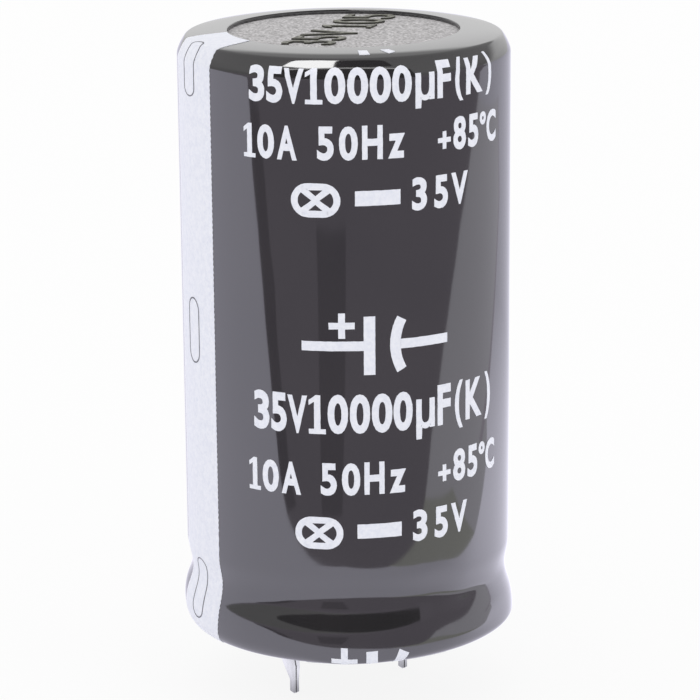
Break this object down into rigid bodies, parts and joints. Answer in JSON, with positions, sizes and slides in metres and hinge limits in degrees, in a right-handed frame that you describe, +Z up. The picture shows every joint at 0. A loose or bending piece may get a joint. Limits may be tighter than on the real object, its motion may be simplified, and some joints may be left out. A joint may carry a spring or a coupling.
{
  "type": "electrolytic capacitor",
  "caption": "Snap-in aluminium electrolytic capacitor: sleeved round can with polarity stripe, top plate, beaded waist and two bent terminals, with its wound element inside.",
  "frame": {"origin": "on the can's axis, in the plane of the base seat that meets the circuit board", "axes": "+Z up the can's axis to the top plate, +X from the negative to the positive terminal"},
  "size_m": [0.0256, 0.0256, 0.0522],
  "materials": {
    "sleeve_black": "glossy shrunk film",
    "ink_white": "printed, slightly grainy",
    "ink_grey": "printed",
    "plate_grey": "fine grain",
    "can_aluminium": "drawn",
    "deck_rubber": "matte",
    "deck_board": "pressed board",
    "tinned_steel": "bright tin",
    "rivet_aluminium": "pressed",
    "foil_aluminium": "rolled",
    "winding_paper": "soaked paper",
    "tape": "film tape",
    "disc_card": "pressed paper"
  },
  "bodies": {
    "root": {"sleeve": "sleeve_black", "polarity_stripe": "ink_white", "minus_marks": "ink_grey", "polarity_signs": "ink_white", "top_plate": "plate_grey", "can": "can_aluminium", "deck_rubber": "deck_rubber", "deck_board": "deck_board", "terminal_negative": "tinned_steel", "terminal_positive": "tinned_steel", "rivet_negative": "rivet_aluminium", "rivet_positive": "rivet_aluminium", "washer_negative": "rivet_aluminium", "washer_positive": "rivet_aluminium", "cathode_tab_inner": "foil_aluminium", "cathode_tab_outer": "foil_aluminium", "anode_tab_inner": "foil_aluminium", "anode_tab_outer": "foil_aluminium", "winding": "winding_paper", "winding_tape": "tape", "end_disc": "disc_card"}
  },
  "joints": []
}
